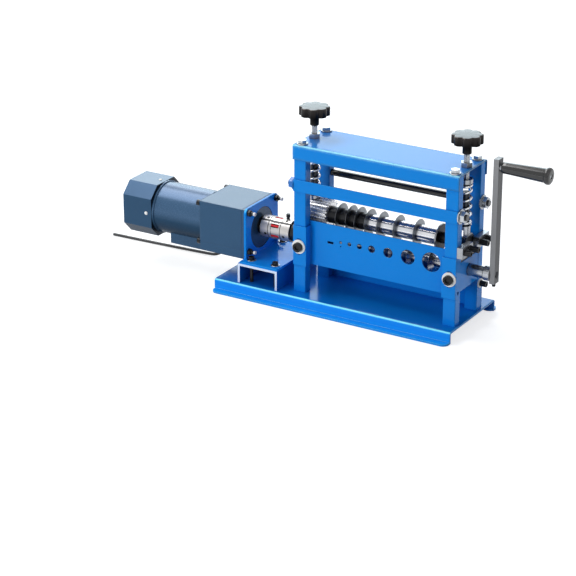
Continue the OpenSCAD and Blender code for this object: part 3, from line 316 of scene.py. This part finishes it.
def makeFinish(name, look):
    material = bpy.data.materials.new(name)
    material.use_nodes = True
    tree = material.node_tree
    shader = tree.nodes["Principled BSDF"]
    where = addNode(tree, "ShaderNodeTexCoord")
    patches = addNode(tree, "ShaderNodeTexNoise", {"Vector": where.outputs["Object"], "Scale": look["patch"],
                                                   "Detail": patchDetail})
    colour = mixTones(tree, patches.outputs["Fac"], look["shade"], look["tone"])
    grainAt = where.outputs["Object"]
    if "streak" in look:
        stretched = addNode(tree, "ShaderNodeMapping", {"Vector": grainAt, "Scale": look["streak"]})
        grainAt = stretched.outputs["Vector"]
    grain = addNode(tree, "ShaderNodeTexNoise", {"Vector": grainAt, "Scale": look.get("grain", 1.0),
                                                 "Detail": grainDetail})
    bump = addNode(tree, "ShaderNodeBump", {"Height": grain.outputs["Fac"], "Strength": look["depth"],
                                            "Distance": bumpHeight})
    shader.inputs["Metallic"].default_value = look.get("metal", 0)
    if look["edge"]:
        roundedNormal = addNode(tree, "ShaderNodeBevel", {"Radius": look["edge"]}, samples=4).outputs["Normal"]
        tree.links.new(roundedNormal, bump.inputs["Normal"])
    # a mark on bare metal is paint, a painted groove or slit, or painted shade, so no metal shows there
    for mark in look.get("marks", ()):
        share = markShare(tree, where, mark)
        colour = mixTones(tree, share, colour, mark["tone"])
        if look.get("metal", 0) > 0.5:
            tree.links.new(ramp(tree, share, 0, 1, look["metal"], 0), shader.inputs["Metallic"])
    # painted highlight on folds and rounded edges
    if "rim" in look:
        colour = mixTones(tree, foldHighlightShare(tree, roundedNormal, look["rim"]["share"]), colour, look["rim"]["tone"])
    # painted shade: recesses darkened by their ambient occlusion
    if "recessShade" in look:
        recessShade = look["recessShade"]
        around = addNode(tree, "ShaderNodeAmbientOcclusion", {"Distance": recessShade["reach"]}, samples=6)
        bare = ramp(tree, around.outputs["AO"], recessShade["from"], recessShade["to"])
        colour = mixTones(tree, bare, recessShade["tone"], colour)
    shader.inputs["Specular IOR Level"].default_value = look.get("shine", 0.5)
    # painted shade on what faces down, with a fainter shine there
    if "under" in look:
        lean = addNode(tree, "ShaderNodeSeparateXYZ", {0: where.outputs["Normal"]}).outputs["Z"]
        colour = mixTones(tree, ramp(tree, lean, *underLimits["tone"]), colour, look["under"])
        faint = ramp(tree, lean, *underLimits["shine"], underLimits["least"], look["shine"])
        tree.links.new(faint, shader.inputs["Specular IOR Level"])
    tree.links.new(colour, shader.inputs["Base Color"])
    tree.links.new(ramp(tree, grain.outputs["Fac"], *noiseSpan, *look["gloss"]), shader.inputs["Roughness"])
    tree.links.new(bump.outputs["Normal"], shader.inputs["Normal"])
    shader.inputs["Specular Tint"].default_value = srgb(look.get("tint", "#FFFFFF"))
    shader.inputs["Coat Weight"].default_value = look.get("coat", 0)
    shader.inputs["Coat Roughness"].default_value = coatRoughness
    return material


paints = {name: makeFinish(name, look) for name, look in finishes.items()}
print("finishes made:", len(paints))

# the nodes of the part by finish
nodeFinish = {
    "blueEnamel": "front_legs rear_legs front_crossbar guide_plate rear_plate bearing_blocks",
    "bracketEnamel": "motor_bracket",
    "capEnamel": "top_cap",
    "baseEnamel": "base_plate",
    "riserEnamel": "motor_riser",
    "motorEnamel": "motor_body end_shield terminal_box",
    "coverEnamel": "fan_cover",
    "boxEnamel": "gearbox_case gearbox_cover",
    "turnedSteel": "feed_roller grip_spindle output_shaft rotor",
    "spacerSteel": "steel_spacers",
    "gearSteel": "blade_gear lower_gear",
    "saddleSteel": "saddles",
    "groundSteel": "bearing_retainers left_spring_seat right_spring_seat "
                   "left_pressure_screw right_pressure_screw idler_gears stator",
    "bladeSteel": "stripping_blades",
    "darkBlade": "end_blade",
    "brightZinc": "cap_bolts",
    "tieZinc": "steel_washers hex_nuts",
    "springWire": "left_spring right_spring",
    "whiteZinc": "guide_washers",
    "blackOxide": "guide_screws socket_screws roller_collar blade_shaft black_spacers clamp_screw "
                  "upper_bushes",
    "boltBlack": "gearbox_bolts",
    "rodBlack": "tie_rods",
    "leverGrey": "crank_lever",
    "bushBronze": "lower_bushes",
    "windingCopper": "windings",
    "knobPlastic": "left_knob right_knob cooling_fan cable_gland",
    "gripPlastic": "crank_grip",
    "hubAluminium": "motor_hub roller_hub",
    "spiderRubber": "coupling_spider",
    "cordRubber": "power_cord",
}
for finishName, names in nodeFinish.items():
    for name in names.split():
        mesh = nodes[name].data
        if not mesh.materials:
            mesh.materials.append(paints[finishName])
        for materialSlot in nodes[name].material_slots:
            materialSlot.material = paints[finishName]
print("nodes painted")


# a piece rides one body, or, given two points between bodies, stays where it is without a body
def addPiece(name, mesh, finishName, body, replaced=(), between=None):
    piece = bpy.data.objects.new(name, mesh)
    bpy.context.scene.collection.objects.link(piece)
    mesh.materials.clear()
    mesh.materials.append(paints[finishName])
    if between:
        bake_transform(piece)
    else:
        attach(piece, body)
    if replaced:
        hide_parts(*replaced)


def meshFrom(name, points, faces, smoothAngle=40):
    mesh = bpy.data.meshes.new(name)
    mesh.from_pydata([tuple(p) for p in points], [], faces)
    shape = bmesh.new()
    shape.from_mesh(mesh)
    bmesh.ops.remove_doubles(shape, verts=shape.verts, dist=1e-6)
    bmesh.ops.recalc_face_normals(shape, faces=shape.faces)
    for face in shape.faces:
        face.smooth = True
    for edge in shape.edges:
        if len(edge.link_faces) == 2 and edge.calc_face_angle(0) > math.radians(smoothAngle):
            edge.smooth = False
    shape.to_mesh(mesh)
    shape.free()
    return mesh


# joins rings of equal point counts into a closed skin
def skinRings(rings):
    points = [p for ring in rings for p in ring]
    count = len(rings[0])
    faces = []
    for i in range(len(rings) - 1):
        for k in range(count):
            a, b = i * count + k, i * count + (k + 1) % count
            faces.append((a, b, b + count, a + count))
    faces.append(tuple(reversed(range(count))))
    last = (len(rings) - 1) * count
    faces.append(tuple(last + k for k in range(count)))
    return points, faces


def angles(sides):
    return [2 * math.pi * k / sides for k in range(sides)]


def circle(centre, side, up, radius, sides):
    return [centre + (side * math.cos(a) + up * math.sin(a)) * radius for a in angles(sides)]


# a level circle about one of the upright axes at the frame's ends
def levelRing(sideways, radius, z, sides):
    return [place(sideways + radius * math.cos(a), radius * math.sin(a), z) for a in angles(sides)]


def turned(profile, centre, along, sides):
    along = Vector(along)
    side = along.orthogonal().normalized()
    up = along.cross(side)
    return skinRings([circle(centre + along * reach * mm, side, up, radius * mm, sides)
                      for radius, reach in profile])


# a turned piece whose bore stays open
def turnedTube(profile, centre, along, sides):
    points, faces = turned(profile, centre, along, sides)
    last = (len(profile) - 1) * sides
    bore = [(last + k, last + (k + 1) % sides, (k + 1) % sides, k) for k in range(sides)]
    return points, faces[:-2] + bore


# a profile is a list of radii with their places along the axis
def addTurned(name, look, replaced=()):
    shape = turnedTube if look["bored"] else turned
    points, faces = shape(look["profile"], place(*look["at"]), look["along"], look["sides"])
    addPiece(name, meshFrom(name, points, faces), look["finish"], look["body"], replaced)


# a round wire along a path that is nowhere parallel to the lean
def sweep(path, radius, sides):
    lean = Vector((0.1, 0.2, 1))
    rings = []
    for i, point in enumerate(path):
        ahead = (path[min(i + 1, len(path) - 1)] - path[max(i - 1, 0)]).normalized()
        side = ahead.cross(lean).normalized()
        rings.append(circle(point, side, ahead.cross(side), radius, sides))
    return skinRings(rings)


# power cord, along the same points as the part's solid
cordLook = {"diameter": 5.2, "exit": (-350, 34, 51.5), "roundness": 4, "stepsPerPoint": 4, "order": 3}
cordRoute = [
    (-350, 34, 51.5), (-350, 36.5, 51.5), (-350, 42, 50.7), (-350, 47, 48.5), (-350, 51.6, 45),
    (-350, 55, 40.5), (-350, 57.2, 35.2), (-350, 58, 29.5), (-350.8, 58, 20.6), (-353.2, 57.8, 14.8),
    (-357, 57.5, 9.8), (-362, 57, 6), (-368, 56.4, 3.5), (-375, 55.7, 2.7), (-388, 54.6, 2.7),
    (-402, 53.6, 2.7), (-416, 52.7, 2.7), (-430, 51.9, 2.7), (-444, 51.1, 2.7), (-458, 50.4, 2.7),
    (-472, 49.7, 2.7), (-486, 49.1, 2.7), (-500, 48.5, 2.7), (-514, 47.9, 2.7), (-528, 47.4, 2.7),
    (-542, 46.9, 2.7), (-556, 46.5, 2.7), (-567, 46.1, 2.7), (-577, 45.8, 2.7)]


def makeCord(look, route):
    data = bpy.data.curves.new("powerCord", "CURVE")
    data.dimensions = "3D"
    data.bevel_depth = look["diameter"] / 2 * mm
    data.bevel_resolution = look["roundness"]
    data.use_fill_caps = True
    data.resolution_u = look["stepsPerPoint"]
    spline = data.splines.new("NURBS")
    spline.points.add(len(route) - 1)
    for point, stop in zip(spline.points, route):
        point.co = (*place(*stop), 1)
    spline.order_u = look["order"]
    spline.use_endpoint_u = True
    cord = bpy.data.objects.new("powerCord", data)
    bpy.context.scene.collection.objects.link(cord)
    data.materials.append(paints["cordRubber"])
    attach(cord, "frame")
    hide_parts("power_cord")


makeCord(cordLook, cordRoute)

# springs: round wire, closed turns at both ends, each made in a lower and an upper half
springLook = {"turns": 6.5, "outer": 22, "wire": 3.5, "foot": 176, "seat": 247, "gap": 0.05, "closing": 0.6,
              "steps": 28, "sides": 12}


def springPath(sideways, low, high, rise, look):
    coil = (look["outer"] - look["wire"]) / 2
    path = []
    for i in range(int(look["turns"] * look["steps"]) + 1):
        t = i / look["steps"]
        if t < 1:
            z = low + rise * t
        elif t > look["turns"] - 1:
            z = high - rise * (look["turns"] - t)
        else:
            z = low + rise + (high - low - 2 * rise) * (t - 1) / (look["turns"] - 2)
        a = 2 * math.pi * t
        path.append(place(sideways + coil * math.cos(a), coil * math.sin(a), z))
    return path


def makeSpring(side, sideways, look):
    low = look["foot"] + look["wire"] / 2 + look["gap"]
    high = look["seat"] - look["wire"] / 2 - look["gap"]
    rise = look["wire"] + look["closing"]
    path = springPath(sideways, low, high, rise, look)
    half = len(path) // 2
    foot = place(sideways, 0, low + rise)
    head = place(sideways, 0, high - rise)
    waist = Vector((foot.x, foot.y, path[half].z))
    halves = (("Foot", path[:half + 1], ("carriage", "frame"), (foot, waist)),
              ("Head", path[half:], ("frame", side + "_seat"), (waist, head)))
    for part, stretch, bodies, between in halves:
        name = side + "Spring" + part
        points, faces = sweep(stretch, look["wire"] / 2 * mm, look["sides"])
        addPiece(name, meshFrom(name, points, faces), "springWire", bodies,
                 [side + "_spring"], between)


makeSpring("left", -endPlace, springLook)
makeSpring("right", endPlace, springLook)
print("springs wound")

# pressure screws with their thread
screwLook = {"radius": 5, "pitch": 1.5, "depth": 0.55, "tip": 3, "from": 250.1, "shoulder": 254.1, "to": 312,
             "ringsPerTurn": 6, "sides": 28, "smoothAngle": 60}


def makeScrew(side, sideways, look):
    sides, low, high = look["sides"], look["shoulder"], look["to"]
    rings = [levelRing(sideways, look["tip"], z, sides) for z in (look["from"], low)]
    steps = int((high - low) / look["pitch"] * look["ringsPerTurn"])
    for i in range(steps + 1):
        z = low + (high - low) * i / steps
        ring = []
        for k, a in enumerate(angles(sides)):
            wave = (z / look["pitch"] - k / sides) % 1.0
            r = look["radius"] - look["depth"] * abs(2 * wave - 1)
            ring.append(place(sideways + r * math.cos(a), r * math.sin(a), z))
        rings.append(ring)
    points, faces = skinRings(rings)
    name = side + "ScrewThread"
    mesh = meshFrom(name, points, faces, look["smoothAngle"])
    addPiece(name, mesh, "brightZinc", side + "_screw", [side + "_pressure_screw"])


makeScrew("left", -endPlace, screwLook)
makeScrew("right", endPlace, screwLook)

# star knobs: scalloped rim with rounded edges over a tapered hub
knobLook = {"lobes": 8, "outer": 25.4, "waist": 22, "hub": 7.5, "from": 295, "rim": 312, "top": 327,
            "turn": 0.35, "roundness": 2.2, "sides": 192}


def starRing(sideways, share, z, look):
    ring = []
    for a in angles(look["sides"]):
        wave = math.cos(look["lobes"] * (a + look["turn"]))
        lobe = 1 - (0.5 - 0.5 * wave) ** look["roundness"]
        r = (look["waist"] + (look["outer"] - look["waist"]) * lobe) * share
        ring.append(place(sideways + r * math.cos(a), r * math.sin(a), z))
    return ring


def makeKnob(side, sideways, look):
    low, rim, top, hub = look["from"], look["rim"], look["top"], look["hub"]
    neck = [(hub - 1, low), (hub, low + 0.8), (hub, rim - 3), (hub + 1.2, rim - 0.8), (hub + 3, rim)]
    star = [(0.93, rim), (0.985, rim + 0.5), (1, rim + 1.6), (1, top - 2.2), (0.985, top - 0.9),
            (0.94, top - 0.2), (0.86, top)]
    middleRings = [(6, top), (0.5, top)]
    rings = [levelRing(sideways, radius, z, look["sides"]) for radius, z in neck]
    rings += [starRing(sideways, share, z, look) for share, z in star]
    rings += [levelRing(sideways, radius, z, look["sides"]) for radius, z in middleRings]
    points, faces = skinRings(rings)
    name = side + "KnobStar"
    addPiece(name, meshFrom(name, points, faces), "knobPlastic", side + "_screw",
             [side + "_knob"])


makeKnob("left", -endPlace, knobLook)
makeKnob("right", endPlace, knobLook)
print("knobs and screws made")

# crank grip, a waisted handle with a rounded end
gripLook = {"finish": "gripPlastic", "body": "grip", "slot": "black_plastic", "bored": True,
            "at": (199.8, 0, 283), "along": (1, 0, 0), "sides": 64,
            "profile": [(4.04, 0), (7.6, 0), (8.5, 0.5), (9, 1.5), (9.2, 8), (9.6, 20), (10.2, 36),
                        (10.8, 52), (11.3, 66), (11.5, 73), (12.6, 74), (13.3, 75.2), (13.5, 77),
                        (13.4, 79), (12.6, 80.8), (11, 81.7), (8.5, 82), (4.04, 82)]}
addTurned("crankGripBody", gripLook, ["crank_grip"])

# tapered cable gland where the cord leaves the terminal box
glandLook = {"finish": "gripPlastic", "body": "frame", "slot": "black_plastic", "bored": False,
             "at": (-350, 14, 51.5), "along": (0, 1, 0), "sides": 32,
             "profile": [(1.6, 0), (5, 0), (5, 5.4), (4.6, 6), (4.5, 8), (3.9, 8.4), (4.4, 9), (4.3, 11),
                         (3.7, 11.4), (4.1, 12), (4, 14), (3.5, 14.4), (3.8, 15), (3.7, 17), (3.4, 17.4),
                         (3.6, 18), (3.5, 20), (1.6, 20)]}
addTurned("cableGlandBody", glandLook, ["cable_gland"])
print("grip and gland made")

# black seal around the output shaft, between the gearbox boss and the coupling
sealLook = {"finish": "gripPlastic", "body": "frame", "slot": "black_plastic", "bored": True,
            "at": (-238.4, 0, driveHeight), "along": (1, 0, 0), "sides": 48,
            "profile": [(8.5, 0), (15, 0), (15, 2), (14.2, 2.6), (13, 2.8), (13, 6.2), (12.4, 6.9),
                        (8.5, 6.9)]}
addTurned("shaftSeal", sealLook)

# raised rim of the motor beside the fan cover
rimLook = {"finish": "motorEnamel", "body": "frame", "slot": "motor_paint", "bored": True,
           "at": (-430.9, 0, motorHeight), "along": (1, 0, 0), "sides": 96,
           "profile": [(44.02, 0), (45.6, 0), (45.8, 0.4), (45.8, 3.2), (45.4, 3.8), (44.02, 4)]}
addTurned("motorRim", rimLook)

# pinch screw that stands up from the roller's half of the coupling
pinchLook = {"finish": "blackOxide", "body": "drive", "slot": "black_steel", "bored": False,
             "at": (-188.7, 3, 121.6), "along": (0, 0, 1), "sides": 24,
             "profile": [(2.6, 0), (2.6, 3), (3.4, 3.2), (3.4, 8.4), (3, 9), (0.4, 9)]}
addTurned("pinchScrew", pinchLook)

# set screw that stands out below the crank lever
stubLook = {"finish": "blackOxide", "body": "drive", "slot": "black_steel", "bored": False,
            "at": (192, 0, 89), "along": (0, 0, -1), "sides": 24,
            "profile": [(2.9, 0), (2.9, 5.6), (2.5, 6), (0.4, 6)]}
addTurned("leverStub", stubLook)

# plain washers under the heads of the bracket's foot bolts
washerLook = {"finish": "brightZinc", "body": "frame", "slot": "zinc_steel", "bored": True,
              "along": (0, 0, 1), "sides": 32,
              "profile": [(5.3, 0), (7.6, 0), (7.8, 0.3), (7.8, 0.9), (7.5, 1.2), (5.3, 1.2)]}
washerHeight = 58
washerPlaces = {"FrontLeft": (-228, -50), "FrontRight": (-182, -50),
                "RearLeft": (-228, 50), "RearRight": (-182, 50)}
for corner, (x, y) in washerPlaces.items():
    addTurned("footWasher" + corner, {**washerLook, "at": (x, y, washerHeight)})
print("seal, rim, small screws and washers made")


# small round-headed screws set on points, each along its own outward direction
def screwHeadTree(material):
    tree = bpy.data.node_groups.new("screwHeads", "GeometryNodeTree")
    tree.interface.new_socket("Geometry", in_out="INPUT", socket_type="NodeSocketGeometry")
    radius = tree.interface.new_socket("Head radius", in_out="INPUT", socket_type="NodeSocketFloat")
    height = tree.interface.new_socket("Head height", in_out="INPUT", socket_type="NodeSocketFloat")
    tree.interface.new_socket("Geometry", in_out="OUTPUT", socket_type="NodeSocketGeometry")
    given = addNode(tree, "NodeGroupInput")
    ball = addNode(tree, "GeometryNodeMeshUVSphere", {"Segments": 24, "Rings": 12, "Radius": 1.0})
    size = addNode(tree, "ShaderNodeCombineXYZ", {"X": given.outputs["Head radius"],
                                                  "Y": given.outputs["Head radius"],
                                                  "Z": given.outputs["Head height"]})
    head = addNode(tree, "GeometryNodeTransform", {"Geometry": ball.outputs["Mesh"],
                                                   "Scale": size.outputs["Vector"]})
    outward = addNode(tree, "GeometryNodeInputNamedAttribute", {"Name": "outward"}, data_type="FLOAT_VECTOR")
    aim = addNode(tree, "FunctionNodeAlignRotationToVector", {"Vector": outward.outputs["Attribute"]},
                  axis="Z")
    dots = addNode(tree, "GeometryNodeMeshToPoints", {"Mesh": given.outputs["Geometry"]})
    heads = addNode(tree, "GeometryNodeInstanceOnPoints", {"Points": dots.outputs["Points"],
                                                           "Instance": head.outputs["Geometry"],
                                                           "Rotation": aim.outputs["Rotation"]})
    real = addNode(tree, "GeometryNodeRealizeInstances", {"Geometry": heads.outputs["Instances"]})
    smooth = addNode(tree, "GeometryNodeSetShadeSmooth", {"Geometry": real.outputs["Geometry"]})
    dressed = addNode(tree, "GeometryNodeSetMaterial", {"Geometry": smooth.outputs["Geometry"],
                                                        "Material": material})
    addNode(tree, "NodeGroupOutput", {"Geometry": dressed.outputs["Geometry"]})
    return tree, radius.identifier, height.identifier


def makeScrewHeads(name, spots, look):
    tree, radiusKey, heightKey = screwHeadTree(paints[look["finish"]])
    seed = bpy.data.meshes.new(name + "Spots")
    seed.from_pydata([tuple(place(*spot)) for spot, _ in spots], [], [])
    outward = seed.attributes.new("outward", "FLOAT_VECTOR", "POINT")
    for item, (_, direction) in zip(outward.data, spots):
        item.vector = direction
    holder = bpy.data.objects.new(name + "Spots", seed)
    bpy.context.scene.collection.objects.link(holder)
    modifier = holder.modifiers.new("heads", "NODES")
    modifier.node_group = tree
    modifier[radiusKey] = look["radius"] * mm
    modifier[heightKey] = look["height"] * mm
    graph = bpy.context.evaluated_depsgraph_get()
    mesh = bpy.data.meshes.new_from_object(holder.evaluated_get(graph))
    bpy.data.objects.remove(holder)
    addPiece(name, mesh, look["finish"], look["body"])


# one screw in the middle of four of the fan cover's sides
coverScrewLook = {"finish": "whiteZinc", "radius": 3.2, "height": 1.8, "body": "frame", "slot": "white_zinc"}
coverX = -441.5
coverHalf = 46
coverSpots = [((coverX, y * coverHalf, motorHeight + z * coverHalf), (0, y, z))
              for y, z in ((-1, 0), (1, 0), (0, -1), (0, 1))]
makeScrewHeads("fanCoverScrews", coverSpots, coverScrewLook)

# two set screws in each half of the coupling
setScrewLook = {"finish": "blackOxide", "radius": 2.4, "height": 0.5, "body": "drive", "slot": "black_steel"}
couplingRadius = 19
couplingSpots = [((x, couplingRadius * math.cos(a), driveHeight + couplingRadius * math.sin(a)),
                  (0, math.cos(a), math.sin(a)))
                 for x in (-221, -186) for a in (math.radians(200), math.radians(110))]
makeScrewHeads("couplingSetScrews", couplingSpots, setScrewLook)
print("screw heads set")

# soft studio around a white backdrop
studio = {"world": 0.34, "floor": "#B4B6B9", "roughness": 0.9, "lift": 0.72, "half": 6, "drop": 0.0004}
lampAim = (-60, 0, 120)
lamps = {
    # mirrored in rounded fronts
    "keyLamp": {"power": 58, "at": (-1700, -60, 2640), "size": 1.2, "long": 2.4},
    # lights the fronts, and is not mirrored
    "frontFill": {"power": 60, "at": (-1100, -2900, 560), "size": 1.6, "mirrored": False},
    # mirrored in what faces up
    "rearPanel": {"power": 21, "at": (-1470, 2370, 1300), "size": 1.8, "tone": "#DDF5FF"},
    # mirrored between the tops and the rounded fronts
    "rollPanel": {"power": 9, "at": (-1560, 1740, 1860), "size": 1.1},
    # lights the crank's side
    "sideFill": {"power": 5, "at": (2600, -700, 1500), "size": 2.0},
}


def makeLamp(name, look):
    data = bpy.data.lights.new(name, "AREA")
    data.energy = look["power"]
    data.color = srgb(look.get("tone", "#FFFFFF"))[:3]
    data.shape = "RECTANGLE" if "long" in look else "DISK"
    data.size = look.get("long", look["size"])
    data.size_y = look["size"]
    lamp = bpy.data.objects.new(name, data)
    lamp.visible_camera = False
    lamp.visible_glossy = look.get("mirrored", True)
    lamp.location = place(*look["at"])
    aim = place(*lampAim) - lamp.location
    lamp.rotation_euler = aim.to_track_quat("-Z", "Y").to_euler()
    bpy.context.scene.collection.objects.link(lamp)


# 1 for what the camera sees, directly or mirrored, and 0 for the light on the part
def seenDirectly(tree):
    path = addNode(tree, "ShaderNodeLightPath")
    first = addNode(tree, "ShaderNodeMath", {0: path.outputs["Is Camera Ray"],
                                             1: path.outputs["Is Glossy Ray"]}, operation="MAXIMUM")
    return addNode(tree, "ShaderNodeMath", {0: first.outputs[0], 1: path.outputs["Is Transmission Ray"]},
                   operation="MAXIMUM").outputs[0]


def makeStudio(look):
    world = bpy.data.worlds.new("studio")
    bpy.context.scene.world = world
    world.use_nodes = True
    tree = world.node_tree
    plain = tree.nodes["Background"]
    plain.inputs["Color"].default_value = (1, 1, 1, 1)
    strength = ramp(tree, seenDirectly(tree), 0, 1, look["world"], 1.0)
    tree.links.new(strength, plain.inputs["Strength"])


def makeFloor(look):
    half, drop = look["half"], look["drop"]
    mesh = bpy.data.meshes.new("floor")
    corners = [(x * half, y * half, -drop) for x, y in ((-1, -1), (1, -1), (1, 1), (-1, 1))]
    mesh.from_pydata(corners, [], [(0, 1, 2, 3)])
    floor = bpy.data.objects.new("floor", mesh)
    bpy.context.scene.collection.objects.link(floor)
    material = bpy.data.materials.new("paleFloor")
    material.use_nodes = True
    tree = material.node_tree
    shader = tree.nodes["Principled BSDF"]
    shader.inputs["Base Color"].default_value = srgb(look["floor"])
    shader.inputs["Roughness"].default_value = look["roughness"]
    shader.inputs["Emission Color"].default_value = (1, 1, 1, 1)
    glow = addNode(tree, "ShaderNodeMath", {0: seenDirectly(tree), 1: look["lift"]}, operation="MULTIPLY")
    tree.links.new(glow.outputs[0], shader.inputs["Emission Strength"])
    mesh.materials.append(material)


makeStudio(studio)
makeFloor(studio)
for lampName, lampLook in lamps.items():
    makeLamp(lampName, lampLook)
bpy.context.scene.view_settings.view_transform = "Standard"
print("studio set")
